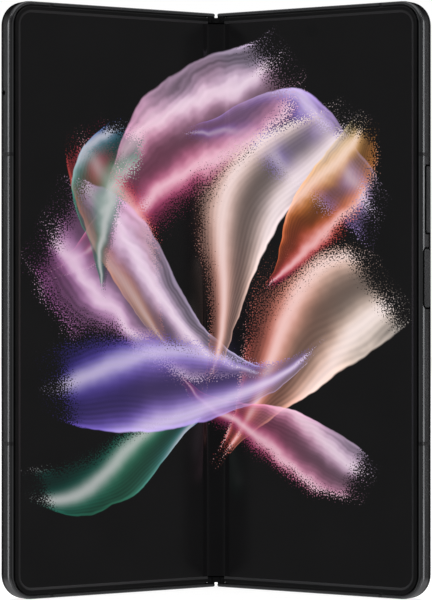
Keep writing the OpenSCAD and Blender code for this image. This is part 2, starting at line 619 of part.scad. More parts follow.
// ---------------------------------------------------------------- left half, inside and back
module cover_glass() { color([0.04, 0.04, 0.05]) on_left() slab(1.95, rail_rb + 0.05, glass_y, back_y); }
module cover_display() {
    color([0.08, 0.08, 0.11]) on_left() difference() {
        slab(cav_x + 1.4, wall_t + 0.3, glass_y - 0.3, glass_y);
        rod(selfie_x, selfie_z, 1.9, 4, 7);
    }
}
module selfie_camera() {
    color([0.07, 0.07, 0.10]) on_left() { rod(selfie_x, selfie_z, 1.8, 4.0, glass_y - 0.02); box(selfie_x - 3.2, selfie_x + 3.2, 2.0, 4.1, selfie_z - 3.2, selfie_z + 3.2); }
}
module left_battery() { color([0.18, 0.19, 0.21]) on_left() box(10, 54, plate_y + 0.05, 4.9, 35, H - 46); }
module sub_board() {
    color([0.10, 0.28, 0.20]) on_left() difference() {
        union() { box(9.5, 40, board_y, board_y + board_t, 9, 30); box(16, 30, board_y + board_t, 4.3, 13, 24); }
        for (p = sub_screws()) rod(p[0], p[1], 0.85, 2, 4);
    }
}
module top_speaker() { color([0.11, 0.11, 0.12]) on_left() box(39.5, 58, plate_y + 0.1, 4.9, H - 18, H - 3); }
module sim_reader() {
    color([0.70, 0.71, 0.73]) on_left() difference() {
        box(W - 17.5, W - wall_t - 0.3, tray_y - 1.35, tray_y + 1.25, tray_z - 8.6, tray_z + 8.6);
        box(W - 16.7, W, tray_y - 0.85, tray_y + 0.75, tray_z - 8.0, tray_z + 8.0);
    }
}
module sim_tray() {
    color([0.20, 0.21, 0.22]) on_left() difference() {
        union() {
            key_cap(tray_y - tray_h / 2, tray_y + tray_h / 2, tray_z - tray_l / 2, tray_z + tray_l / 2, W - 1.3, W - 0.02, 0.55);
            difference() {
                box(W - 15.8, W - 1.2, tray_y - 0.6, tray_y + 0.5, tray_z - 7.2, tray_z + 7.2);
                box(W - 15.0, W - 3.0, tray_y - 0.2, tray_y + 1, tray_z - 4.6, tray_z + 4.6);
            }
        }
        translate([W - 2.5, tray_y, tray_z + 6.6]) rotate([0, 90, 0]) cylinder(r = 0.7, h = 6);
    }
}
module left_screws() {
    color([0.50, 0.51, 0.53]) on_left() {
        for (p = sub_screws()) board_screw(p, board_y + board_t);
        arm_screws();
    }
}

spine_cover();
hinge_brackets();
center_plate();
crease_caps();
hinge_screws();
disc_springs();
inner_display_fold();
hinge_flex_cables();
right_pinion();
right_idler();
left_idler();
left_pinion();
right_frame();
right_bezel();
right_display_panel();
right_backing_plate();
right_wing_plate();
right_hinge_arms();
right_brush_strip();
rear_glass();
camera_housing();
camera_lens_rings();
camera_lens_covers();
camera_modules();
flash_window();
main_board();
board_shields();
right_battery();
charging_coil();
bottom_speaker();
usb_board();
usb_port();
vibration_motor();
key_switches();
under_display_camera();
right_magnets();
right_screws();
right_antenna_breaks();
volume_key();
power_key();
left_frame();
left_bezel();
left_display_panel();
left_backing_plate();
left_wing_plate();
left_hinge_arms();
left_brush_strip();
cover_glass();
cover_display();
selfie_camera();
left_battery();
sub_board();
top_speaker();
sim_reader();
left_magnets();
left_screws();
left_antenna_breaks();
sim_tray();
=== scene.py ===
import bpy, bmesh, json, math
from mathutils import Vector, Matrix

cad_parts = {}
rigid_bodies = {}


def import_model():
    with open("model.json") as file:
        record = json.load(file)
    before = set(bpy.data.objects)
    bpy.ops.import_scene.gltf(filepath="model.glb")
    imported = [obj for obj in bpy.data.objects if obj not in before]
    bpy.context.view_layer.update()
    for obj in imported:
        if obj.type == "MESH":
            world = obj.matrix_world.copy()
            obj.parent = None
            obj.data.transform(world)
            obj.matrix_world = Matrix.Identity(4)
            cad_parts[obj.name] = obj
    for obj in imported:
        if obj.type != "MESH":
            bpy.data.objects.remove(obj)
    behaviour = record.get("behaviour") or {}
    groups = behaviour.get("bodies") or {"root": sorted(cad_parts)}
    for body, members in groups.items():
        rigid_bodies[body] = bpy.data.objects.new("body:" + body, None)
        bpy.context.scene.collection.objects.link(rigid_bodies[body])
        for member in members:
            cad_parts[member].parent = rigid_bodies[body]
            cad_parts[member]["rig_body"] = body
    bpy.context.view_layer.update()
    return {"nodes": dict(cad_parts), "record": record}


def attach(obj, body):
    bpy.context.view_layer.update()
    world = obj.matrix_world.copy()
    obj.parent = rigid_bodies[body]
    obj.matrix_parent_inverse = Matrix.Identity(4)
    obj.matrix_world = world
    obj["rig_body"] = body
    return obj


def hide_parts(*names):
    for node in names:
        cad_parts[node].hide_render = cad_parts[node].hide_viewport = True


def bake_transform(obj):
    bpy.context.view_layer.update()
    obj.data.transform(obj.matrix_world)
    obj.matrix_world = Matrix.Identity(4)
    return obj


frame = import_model()
NODES = frame["nodes"]

# ------------------------------------------------------------------ frame of the two halves
# Half coordinates in millimetres: x from the fold line outwards, y from the display's face
# into the body, z up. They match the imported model.
H, W, RC = 158.2, 64.05, 6.5
AX, TH = 1.7, math.radians(32.7)
SN, CS = math.sin(TH), math.cos(TH)
Y_FRONT = -(W - AX) * SN + min((0.395 + 0.36 * math.cos(math.radians(t))) * SN + (0.9 + 1.05 * math.sin(math.radians(t))) * CS for t in range(186, 271, 12))
Y_BACK = (AX - 0.2) * SN + 6.1 * CS
Y_MID = -(Y_FRONT + Y_BACK) / 2
BACK = 6.1
VOL_Y0, VOL_Y1, VOL_Z1 = 1.95, 4.35, H - 43.7
VOL_Z0 = VOL_Z1 - 17.7
POW_Y0, POW_Y1, POW_Z1 = 1.40, 4.80, H - 65.5
POW_Z0 = POW_Z1 - 15.6


def turned(x, y, ang):
    c, s = math.cos(ang), math.sin(ang)
    return AX + (x - AX) * c + y * s, -(x - AX) * s + y * c


def world(side, x, y, z, ang=TH):
    px, py = turned(x, y, ang)
    return Vector((side * px, py + Y_MID, z)) / 1000.0


def spine_pt(x, y, z):
    return Vector((x, y + Y_MID, z)) / 1000.0


def smooth(t):
    t = min(max(t, 0.0), 1.0)
    return t * t * (3 - 2 * t)


def new_object(name, verts, faces, mat=None, smooth_all=True, uvs=None):
    me = bpy.data.meshes.new(name)
    me.from_pydata([tuple(v) for v in verts], [], faces)
    if uvs is not None:
        layer = me.uv_layers.new(name="flat")
        for loop in me.loops:
            layer.data[loop.index].uv = uvs[loop.vertex_index]
    ob = bpy.data.objects.new(name, me)
    bpy.context.scene.collection.objects.link(ob)
    bm = bmesh.new()
    bm.from_mesh(me)
    bmesh.ops.recalc_face_normals(bm, faces=bm.faces)
    bm.to_mesh(me)
    bm.free()
    for p in me.polygons:
        p.use_smooth = smooth_all
    if mat:
        me.materials.append(mat)
    return ob


def apply_modifiers(ob):
    dg = bpy.context.evaluated_depsgraph_get()
    dg.update()
    me = bpy.data.meshes.new_from_object(ob.evaluated_get(dg), preserve_all_data_layers=True, depsgraph=dg)
    old = ob.data
    ob.modifiers.clear()
    ob.data = me
    me.name = ob.name
    bpy.data.meshes.remove(old)


def unfolded(side, co):
    """Half coordinates in millimetres of a point at rest."""
    px, py = side * co.x * 1000.0 - AX, co.y * 1000.0 - Y_MID
    return AX + px * CS - py * SN, px * SN + py * CS, co.z * 1000.0


def inward(x, z):
    """Distance in from a half's rounded outline."""
    qx, qz = x - (W - RC), abs(z - H / 2) - (H / 2 - RC)
    return RC - math.hypot(max(qx, 0.0), max(qz, 0.0)) - min(max(qx, qz), 0.0)


def rail_line(side):
    """Names the two lines that bound the rail's tilted face, so that they stay crisp."""

    def line(co):
        x, y, z = unfolded(side, co)
        u = inward(x, z)
        if abs(y - 1.3) < 0.03 and abs(u) < 0.02:
            return 1
        if abs(y - 0.5755) < 0.03 and abs(u - 0.0526) < 0.01:
            return 2
        return 0

    return line


def mark_sharp(me, angle_deg, line=None):
    bm = bmesh.new()
    bm.from_mesh(me)
    lim = math.radians(angle_deg)
    for e in bm.edges:
        e.smooth = not (len(e.link_faces) == 2 and e.calc_face_angle(0.0) > lim)
        if line and e.smooth:
            a = line(e.verts[0].co)
            if a and a == line(e.verts[1].co):
                e.smooth = False
    for f in bm.faces:
        f.smooth = True
    bm.to_mesh(me)
    bm.free()


def refine(node, name, mat, bevel=0.06, segs=2, angle=28, sharp=40, dissolve=0.3, line=None):
    """A finished piece with the CAD node's own shape, its edges broken by a small round."""
    src = NODES[node]
    me = src.data.copy()
    me.name = name
    ob = bpy.data.objects.new(name, me)
    bpy.context.scene.collection.objects.link(ob)
    bm = bmesh.new()
    bm.from_mesh(me)
    bmesh.ops.remove_doubles(bm, verts=bm.verts, dist=2e-6)
    if bevel:
        bmesh.ops.dissolve_limit(bm, angle_limit=math.radians(dissolve), verts=bm.verts, edges=bm.edges, delimit=set())
    bmesh.ops.recalc_face_normals(bm, faces=bm.faces)
    bm.to_mesh(me)
    bm.free()
    me.materials.clear()
    me.materials.append(mat)
    if bevel:
        m = ob.modifiers.new("edge", "BEVEL")
        m.width = bevel / 1000.0
        m.segments = segs
        m.limit_method = "ANGLE"
        m.angle_limit = math.radians(angle)
        m.use_clamp_overlap = True
        m.harden_normals = False
        apply_modifiers(ob)
    mark_sharp(ob.data, sharp, line)
    w = ob.modifiers.new("weighted", "WEIGHTED_NORMAL")
    w.keep_sharp = True
    w.weight = 60
    apply_modifiers(ob)
    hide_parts(node)
    body = NODES[node]["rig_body"]
    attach(ob, body)
    return ob


# ------------------------------------------------------------------ material expressions
class E:
    """A value in a node tree, so that patterns are written as arithmetic."""

    def __init__(self, g, sock):
        self.g, self.s = g, sock

    def op(self, name, *others, clamp=False):
        n = self.g.nt.nodes.new("ShaderNodeMath")
        n.operation = name
        n.use_clamp = clamp
        for i, o in enumerate((self,) + others):
            if isinstance(o, E):
                self.g.nt.links.new(o.s, n.inputs[i])
            else:
                n.inputs[i].default_value = float(o)
        return E(self.g, n.outputs[0])

    def __add__(self, o): return self.op("ADD", o)
    __radd__ = __add__
    def __sub__(self, o): return self.op("SUBTRACT", o)
    def __rsub__(self, o): return (self * -1.0) + o
    def __mul__(self, o): return self.op("MULTIPLY", o)
    __rmul__ = __mul__
    def __truediv__(self, o): return self.op("DIVIDE", o)
    def __neg__(self): return self * -1.0
    def sin(self): return self.op("SINE")
    def abs(self): return self.op("ABSOLUTE")
    def sqrt(self): return self.op("SQRT")
    def pow(self, p): return self.op("POWER", p)
    def mod(self, m): return self.op("FLOORED_MODULO", m)
    def lt(self, o): return self.op("LESS_THAN", o)
    def gt(self, o): return self.op("GREATER_THAN", o)
    def min(self, o): return self.op("MINIMUM", o)
    def max(self, o): return self.op("MAXIMUM", o)
    def clamp(self): return self.op("ADD", 0.0, clamp=True)

    def step(self, lo, hi, smooth_it=True, to=(0.0, 1.0)):
        n = self.g.nt.nodes.new("ShaderNodeMapRange")
        n.interpolation_type = "SMOOTHSTEP" if smooth_it else "LINEAR"
        n.clamp = True
        self.g.nt.links.new(self.s, n.inputs["Value"])
        n.inputs["From Min"].default_value = lo
        n.inputs["From Max"].default_value = hi
        n.inputs["To Min"].default_value = to[0]
        n.inputs["To Max"].default_value = to[1]
        return E(self.g, n.outputs["Result"])


class G:
    """A material under construction."""

    def __init__(self, name):
        self.mat = bpy.data.materials.new(name)
        self.mat.use_nodes = True
        self.nt = self.mat.node_tree
        self.bsdf = self.nt.nodes["Principled BSDF"]
        self.out = self.nt.nodes["Material Output"]

    def node(self, kind, **props):
        n = self.nt.nodes.new(kind)
        for k, v in props.items():
            setattr(n, k, v)
        return n

    def link(self, a, b):
        self.nt.links.new(a.s if isinstance(a, E) else a, b)

    def set(self, **kw):
        names = {"base": "Base Color", "metallic": "Metallic", "rough": "Roughness", "ior": "IOR", "coat": "Coat Weight",
                 "coat_rough": "Coat Roughness", "sheen": "Sheen Weight", "spec": "Specular IOR Level", "aniso": "Anisotropic",
                 "emit_strength": "Emission Strength", "transmission": "Transmission Weight", "emit": "Emission Color", "alpha": "Alpha"}
        for k, v in kw.items():
            s = self.bsdf.inputs[names[k]]
            if isinstance(v, (E, bpy.types.NodeSocket)):
                self.link(v, s)
            elif isinstance(v, (tuple, list)):
                s.default_value = (*v[:3], 1.0)
            else:
                s.default_value = v
        return self

    def coords(self, kind="Object"):
        if not hasattr(self, "_tc"):
            self._tc = self.node("ShaderNodeTexCoord")
        return self._tc.outputs[kind]

    def uv(self):
        n = self.node("ShaderNodeUVMap")
        n.uv_map = "flat"
        return n.outputs["UV"]

    def split(self, vec):
        n = self.node("ShaderNodeSeparateXYZ")
        self.nt.links.new(vec, n.inputs[0])
        return [E(self, o) for o in n.outputs]

    def vec(self, x=0.0, y=0.0, z=0.0):
        n = self.node("ShaderNodeCombineXYZ")
        for i, v in enumerate((x, y, z)):
            if isinstance(v, E):
                self.nt.links.new(v.s, n.inputs[i])
            else:
                n.inputs[i].default_value = v
        return n.outputs[0]

    def scaled(self, vec, s):
        n = self.node("ShaderNodeVectorMath", operation="MULTIPLY")
        self.nt.links.new(vec, n.inputs[0])
        n.inputs[1].default_value = s if isinstance(s, (tuple, list)) else (s, s, s)
        return n.outputs[0]

    def noise(self, vec, scale, detail=2.0, rough=0.5, dist=0.0):
        n = self.node("ShaderNodeTexNoise")
        self.nt.links.new(vec, n.inputs["Vector"])
        n.inputs["Scale"].default_value = scale
        n.inputs["Detail"].default_value = detail
        n.inputs["Roughness"].default_value = rough
        n.inputs["Distortion"].default_value = dist
        return E(self, n.outputs["Fac"])

    def voronoi(self, vec, scale, feature="F1", rnd=1.0):
        n = self.node("ShaderNodeTexVoronoi", feature=feature)
        self.nt.links.new(vec, n.inputs["Vector"])
        n.inputs["Scale"].default_value = scale
        n.inputs["Randomness"].default_value = rnd
        return E(self, n.outputs["Distance"])

    def ramp(self, fac, stops, interp="EASE"):
        n = self.node("ShaderNodeValToRGB")
        n.color_ramp.interpolation = interp
        els = n.color_ramp.elements
        while len(els) > 1:
            els.remove(els[-1])
        els[0].position = stops[0][0]
        els[0].color = (*stops[0][1], 1.0)
        for p, c in stops[1:]:
            e = els.new(p)
            e.color = (*c, 1.0)
        self.link(fac, n.inputs["Fac"])
        return n.outputs["Color"]

    def mix(self, fac, a, b, mode="MIX"):
        n = self.node("ShaderNodeMix", data_type="RGBA", blend_type=mode)
        if isinstance(fac, E):
            self.link(fac, n.inputs["Factor"])
        else:
            n.inputs["Factor"].default_value = fac
        ins = [i for i in n.inputs if i.type == "RGBA"]
        for s, v in zip(ins, (a, b)):
            if isinstance(v, (tuple, list)):
                s.default_value = (*v[:3], 1.0)
            else:
                self.link(v, s)
        return next(o for o in n.outputs if o.type == "RGBA")

    def bump(self, height, strength=0.2, distance=0.0001, normal=None):
        n = self.node("ShaderNodeBump")
        n.inputs["Strength"].default_value = strength
        n.inputs["Distance"].default_value = distance
        self.link(height, n.inputs["Height"])
        if normal is not None:
            self.link(normal, n.inputs["Normal"])
        self.link(n.outputs["Normal"], self.bsdf.inputs["Normal"])
        return n.outputs["Normal"]


def srgb(r, g, b):
    f = lambda c: c / 12.92 if c <= 0.04045 else ((c + 0.055) / 1.055) ** 2.4
    return tuple(f(c / 255.0) for c in (r, g, b))


# ------------------------------------------------------------------ materials of the outside
def half_space(g):
    """Half coordinates in millimetres, as expressions."""
    x, y, z = g.split(g.coords())
    px, py = x.abs() * 1000.0 - AX, y * 1000.0 - Y_MID
    return px * CS - py * SN + AX, px * SN + py * CS, z * 1000.0


def anodised(name, base, rough=0.34, grain=1.0, key=None, rear=None):
    """Grained anodised metal. key: (y0, y1, z0, z1, r, u), the outline of a key, round whose face a band is painted
    black, and whose flanks below u are painted black too: painted shade in the gap round the key. rear: depth behind
    which the edge is painted black as a painted dark reflection of the rounded back edge; the inner part of the lip at
    the top and the bottom is painted black as painted shade."""
    g = G(name)
    p = g.coords()
    fine = g.noise(g.scaled(p, 1.0), 9000.0, 2.0, 0.6)
    cloud = g.noise(g.scaled(p, 1.0), 60.0, 3.0, 0.5)
    tint = g.ramp(cloud, [(0.3, tuple(c * 0.93 for c in base)), (0.7, tuple(min(c * 1.07, 1) for c in base))], "LINEAR")
    speck = g.mix(fine.step(0.35, 0.75) * 0.06, tint, tuple(min(c * 1.5, 1) for c in base))
    gloss = cloud.step(0.3, 0.7, to=(rough - 0.03, rough + 0.03)) + fine.step(0.3, 0.7, to=(-0.01, 0.01))
    # near-black for the painted shade round a key
    dark = (0.0015, 0.0015, 0.0017)
    if key:
        y0, y1, z0, z1, r, lim = key
        u, v, z = half_space(g)
        qy, qz = (v - (y0 + y1) / 2).abs() - ((y1 - y0) / 2 - r), (z - (z0 + z1) / 2).abs() - ((z1 - z0) / 2 - r)
        border = (qy.max(0.0).pow(2.0) + qz.max(0.0).pow(2.0)).sqrt() + qy.max(qz).min(0.0) - r
        # painted shade: the band round the key's face and its flanks below lim turn black
        face = u.step(lim - 0.015, lim + 0.015) * border.step(-0.10, -0.14)
        g.set(base=g.mix(face, dark, speck), metallic=face, rough=gloss + (1.0 - face) * 0.45)
    elif rear:
        u, v, z = half_space(g)
        qx, qz = u.abs() - (W - RC), (z - H / 2).abs() - (H / 2 - RC)
        inward = RC - (qx.max(0.0).pow(2.0) + qz.max(0.0).pow(2.0)).sqrt() - qx.max(qz).min(0.0)
        # painted shade: the inner part of the lip at the top and the bottom is darkened
        lip = inward.step(0.62, 1.08) * v.step(2.2, 1.8) * qz.step(RC - 6.0, RC - 3.0)
        # painted dark reflection: behind depth rear the rounded back edge is painted black
        face = v.step(rear + 0.04, rear - 0.04) * (1.0 - lip)
        g.set(base=g.mix(face, (0.004, 0.004, 0.0045), speck), metallic=face, rough=gloss)
    else:
        g.set(base=speck, metallic=1.0, rough=gloss)
    g.bump(fine, 0.03 * grain, 0.00001)
    return g.mat


M = {}
# rail and tray: painted black behind 3.5 mm depth and on the inner lip, painted reflection and shade
M["rail"] = anodised("rail_anodised", (0.200, 0.203, 0.210), 0.17, 0.5, rear=3.5)
M["spine"] = anodised("spine_anodised", (0.20, 0.203, 0.211), 0.26, 0.6)
M["tray"] = anodised("tray_anodised", (0.200, 0.203, 0.210), 0.19, 0.5, rear=3.5)
# the keys: painted shade in the gap round each face
M["key"] = anodised("key_anodised", (0.185, 0.188, 0.195), 0.20, 0.5, (VOL_Y0, VOL_Y1, VOL_Z0, VOL_Z1, 0.9, W + 0.08))
M["power"] = anodised("power_sensor_face", (0.200, 0.202, 0.210), 0.20, 0.4, (POW_Y0, POW_Y1, POW_Z0, POW_Z1, 1.1, W - 0.14))
M["camera_metal"] = anodised("camera_blasted", (0.105, 0.107, 0.113), 0.36, 1.6)
M["camera_ring"] = anodised("camera_ring_polished", (0.34, 0.345, 0.36), 0.20, 0.6)


def plastic(name, base, rough=0.5, tex=7000.0, strength=0.25, spec=0.5):
    g = G(name)
    p = g.coords()
    fine = g.noise(p, tex, 2.0, 0.55)
    cloud = g.noise(p, 90.0, 3.0, 0.5)
    g.set(base=g.ramp(cloud, [(0.3, tuple(c * 0.88 for c in base)), (0.7, tuple(min(c * 1.12, 1) for c in base))], "LINEAR"), spec=spec)
    g.set(rough=cloud.step(0.3, 0.7, to=(rough - 0.04, rough + 0.05)))
    g.bump(fine, strength, 0.00003)
    return g.mat




def bezel_material():
    """Soft black lip, whose slope down to the screen is painted paler: a painted highlight."""
    g = G("bezel_soft")
    p = g.coords()
    u, v, _ = g.split(g.uv())
    qx = (u * 100.0).abs() - (W - RC)
    qz = (v * 100.0 - H / 2).abs() - (H / 2 - RC)
    depth = RC - (qx.max(0.0).pow(2.0) + qz.max(0.0).pow(2.0)).sqrt() - qx.max(qz).min(0.0)
    # painted highlight: the slope down to the screen is made paler in place of the light it catches
    slope_highlight = depth.step(2.38, 2.50)
    fine = g.noise(p, 9000.0, 2.0, 0.55)
    cloud = g.noise(p, 90.0, 3.0, 0.5)
    dark = g.ramp(cloud, [(0.3, (0.0050, 0.0051, 0.0054)), (0.7, (0.0066, 0.0067, 0.0071))], "LINEAR")
    g.set(base=g.mix(slope_highlight, dark, (0.043, 0.043, 0.045)), spec=0.45)
    g.set(rough=cloud.step(0.3, 0.7, to=(0.38, 0.46)))
    g.bump(fine, 0.18, 0.00003)
    return g.mat


M["bezel"] = bezel_material()
M["breaks"] = plastic("antenna_break", (0.015, 0.015, 0.0165), 0.20, 8000.0, 0.06, 0.95)
M["caps"] = plastic("crease_cap", (0.0055, 0.0055, 0.006), 0.60, 8000.0, 0.2, 0.2)


def etched_glass():
    g = G("rear_glass_etched")
    p = g.coords()
    grain = g.noise(p, 14000.0, 2.0, 0.6)
    cloud = g.noise(p, 40.0, 3.0, 0.5)
    g.set(base=g.ramp(cloud, [(0.3, (0.0215, 0.0220, 0.0240)), (0.7, (0.0270, 0.0275, 0.0300))], "LINEAR"), ior=1.5, spec=0.5)
    g.set(rough=cloud.step(0.3, 0.7, to=(0.33, 0.38)) + grain.step(0.3, 0.7, to=(-0.03, 0.03)))
    g.set(coat=0.25, coat_rough=0.18)
    g.bump(grain, 0.06, 0.00001)
    return g.mat


M["back_glass"] = etched_glass()


def black_glass():
    g = G("cover_glass_black")
    p = g.coords("Object")
    u = g.uv()
    x, z, _ = g.split(u)
    # lit area of the cover display: a rounded rectangle, only just told from its border
    dx = (x * -100.0 - 32.7).abs() - 22.3
    dz = (z * 100.0 - 79.1).abs() - 76.3
    r = ((dx + 4.0).max(0.0).pow(2.0) + (dz + 4.0).max(0.0).pow(2.0)).sqrt() - 4.0
    area = r.step(0.05, -0.05)
    cloud = g.noise(p, 70.0, 3.0, 0.5)
    smudge = g.noise(p, 260.0, 4.0, 0.62, 0.6)
    # the hole over the camera: dark ring, a painted blue reflection of the lens coating, darker centre
    hx, hz = x * -100.0 - 33.2, z * 100.0 - 150.6
    hole = (hx * hx + hz * hz).sqrt()
    tone = g.mix(area, (0.0030, 0.0030, 0.0033), (0.0048, 0.0049, 0.0058))
    tone = g.mix(hole.step(1.95, 1.90), tone, (0.0012, 0.0012, 0.0014))
    tone = g.mix(hole.step(0.95, 0.80), tone, (0.006, 0.008, 0.022))
    tone = g.mix(hole.step(0.45, 0.35), tone, (0.0015, 0.002, 0.006))
    g.set(base=tone, ior=1.52)
    g.set(rough=cloud.step(0.35, 0.65, to=(0.045, 0.06)) + smudge.step(0.5, 0.78, to=(0.0, 0.05)))
    g.bump(g.noise(p, 30.0, 1.0), 0.02, 0.00005)
    return g.mat


M["black_glass"] = black_glass()


def ribbon(g, x, z, below, cx, cz, ang, length, half, bend, wave, wave_len, phase, stops, opacity, pleats=2.2, flip=1.0, grain=None, lead=0.0):
    """One band of translucent silk: crisp along one edge, crumbling to powder along the other.
    lead above 0 keeps the band broad towards its far end, where it dissolves; below 0 the other way."""
    ca, sa = math.cos(math.radians(ang)), math.sin(math.radians(ang))
    px, pz = x - cx, z - cz
    p = (px * ca + pz * sa) / length                      # along, -1 to 1
    q = pz * ca - px * sa                                 # across, in millimetres
    mid = (p * p) * bend + (p * (math.tau * length / wave_len) + phase).sin() * wave
    soft_noise = g.noise(g.vec(px * 0.028, pz * 0.028, cx * 0.1), 1.0, 3.0, 0.5)
    ruffle = g.noise(g.vec(px * 0.16, pz * 0.16, cz * 0.1), 1.0, 2.0, 0.5)
    taper = (p - lead).abs()
    width = (taper.step(1.05 + abs(lead), 0.15) * 0.88 + 0.12) * ((p * 2.3 + phase).sin() * 0.16 + 1.0) * (half * 0.88)
    t = (q - mid + (soft_noise - 0.5) * 6.0 + (ruffle - 0.5) * 1.6) * flip / width
    ends = p.abs().step(1.0, 0.55)
    crisp = t.step(1.0, 0.955)
    dust = g.noise(g.vec(px * 2.6, pz * 2.6, cx), 1.0, 1.0, 0.5) if grain is None else grain
    fall = (t + 1.35) * 0.62 + (soft_noise - 0.5) * 1.1
    powder = (dust * 0.9 + fall * 0.95 - 0.69).step(0.0, 0.16)
    tail = (dust + ends * 0.85 - 0.60).step(0.0, 0.2)
    limit = p.abs().step(1.08, 0.98)
    alpha = crisp * powder * tail * limit * opacity
    fine = (t * 58.0 + (p * 9.0).sin() * 3.0 + soft_noise * 22.0 + ruffle * 6.0).sin() * 0.5 + 0.5
    pleat = (t * pleats * 2.2 + p * 3.4 + phase + soft_noise * 3.4 + ruffle * 1.2).sin() * 0.5 + 0.5
    lit = pleat.pow(1.3) * 0.54 + 0.29 + fine * 0.18 * t.abs() + t.step(0.84, 0.98) * 0.45
    along = p * 0.36 + 0.5 + (soft_noise - 0.5) * 0.5 + t * 0.16
    colour = g.ramp(along, [(v, srgb(*c)) for v, c in stops], "B_SPLINE")
    body = g.mix(1.0, colour, g.vec(lit, lit, lit), "MULTIPLY")
    sheen = g.mix(pleat.pow(5.0) * 0.45, body, srgb(248, 236, 240))
    deep = alpha * (0.50 + pleat * 0.50)
    return g.mix(deep.clamp(), below, sheen)


def display_material():
    g = G("folding_display")
    u, v, _ = g.split(g.uv())
    x, z = u * 100.0, v * 100.0
    grain = g.noise(g.vec(x * 2.3, z * 2.3, 0.0), 1.0, 1.0, 0.6)
    c = (0.0, 0.0, 0.0)
    pink = [(0.05, (120, 36, 84)), (0.35, (226, 64, 134)), (0.6, (246, 150, 190)), (0.9, (226, 204, 236))]
    violet = [(0.05, (58, 46, 140)), (0.35, (106, 84, 214)), (0.6, (170, 134, 236)), (0.95, (232, 206, 244))]
    teal = [(0.05, (6, 70, 64)), (0.4, (16, 124, 108)), (0.65, (84, 176, 128)), (0.95, (62, 76, 184))]
    coral = [(0.05, (232, 74, 84)), (0.4, (250, 138, 116)), (0.65, (255, 206, 180)), (0.95, (252, 240, 230))]
    orange = [(0.05, (222, 48, 124)), (0.4, (242, 84, 60)), (0.7, (252, 166, 60)), (0.95, (254, 228, 170))]
    lilac = [(0.05, (176, 76, 164)), (0.4, (226, 166, 222)), (0.7, (244, 222, 244)), (0.95, (146, 158, 236))]
    cream = [(0.05, (244, 132, 118)), (0.45, (252, 210, 190)), (0.8, (250, 236, 238)), (0.98, (204, 168, 226))]
    c = ribbon(g, x, z, c, -28, 34, 18, 30, 10, 7, 2.5, 70, 0.4, teal, 0.85, 1.6, -1.0, grain, -0.3)
    c = ribbon(g, x, z, c, 22, 122, -18, 34, 13, -7, 3.0, 80, 2.1, violet, 0.90, 2.0, 1.0, grain, 0.4)
    c = ribbon(g, x, z, c, -14, 113, 38, 48, 18, 8, 5.0, 96, 1.2, pink, 0.98, 2.6, 1.0, grain, 0.35)
    c = ribbon(g, x, z, c, -30, 92, -64, 34, 11, 6, 3.5, 80, 1.9, orange, 0.80, 2.0, -1.0, grain, -0.4)
    c = ribbon(g, x, z, c, 22, 66, 38, 36, 18, -8, 4.0, 90, 0.2, coral, 0.98, 2.4, -1.0, grain, 0.35)
    c = ribbon(g, x, z, c, -20, 74, -30, 42, 17, 8, 4.0, 84, 3.0, lilac, 0.96, 2.8, 1.0, grain, -0.4)
    c = ribbon(g, x, z, c, 8, 98, 60, 44, 13, -11, 4.0, 74, 0.9, cream, 0.94, 2.2, -1.0, grain, 0.3)
    c = ribbon(g, x, z, c, 14, 40, -28, 34, 10, 8, 3.0, 80, 0.8, pink, 0.88, 2.2, 1.0, grain, 0.4)
    c = ribbon(g, x, z, c, -8, 54, 10, 44, 13, 10, 4.0, 100, 2.6, violet, 0.90, 2.0, -1.0, grain, -0.35)
    c = ribbon(g, x, z, c, 34, 102, 56, 28, 9, 6, 2.5, 66, 1.8, orange, 0.94, 1.8, 1.0, grain, 0.3)
    c = ribbon(g, x, z, c, -36, 104, 78, 24, 9, -5, 2.0, 58, 0.6, teal, 0.90, 1.6, 1.0, grain, 0.4)
    black = g.noise(g.vec(x * 0.05, z * 0.05, 2.0), 1.0, 2.0)
    base_glow = g.ramp(black, [(0.3, (0.0026, 0.0025, 0.0026)), (0.7, (0.0036, 0.0034, 0.0036))], "LINEAR")
    glow = g.mix(1.0, c, base_glow, "ADD")
    # faint patch over the camera under the panel
    rx, rz = x - 30.3, z - 151.8
    spot = (rx * rx + rz * rz).sqrt().step(1.95, 1.75)
    glow = g.mix(spot * 0.5, glow, (0.0016, 0.0017, 0.0019))
    g.set(base=(0.004, 0.004, 0.0045), ior=1.46, spec=0.42, emit=glow, emit_strength=1.0)
    film = g.noise(g.coords(), 120.0, 3.0, 0.5)
    g.set(rough=film.step(0.3, 0.7, to=(0.10, 0.14)))
    g.bump(g.noise(g.coords(), 900.0, 2.0, 0.5), 0.03, 0.00002)
    return g.mat


M["display"] = display_material()

# ------------------------------------------------------------------ the folding display, in two halves that meet at x = 0
FOLD = 4.0
_sx, _sy = 0.0, 0.0
_ex, _ey = turned(FOLD, 0.0, TH)
_dl = _ex * _ex + _ey * _ey


def bent(x, y):
    """Where a point of the flat film lies at rest, bent round the fold."""
    w = 0.0 if x <= 0 else 0.5
    if x > FOLD + 1.5:
        return turned(x, y, TH)
    for _ in range(60):
        px, py = turned(x, y, w * TH)
        w = 0.5 * w + 0.5 * smooth((px * _ex + py * _ey) / _dl)
    return turned(x, y, w * TH)


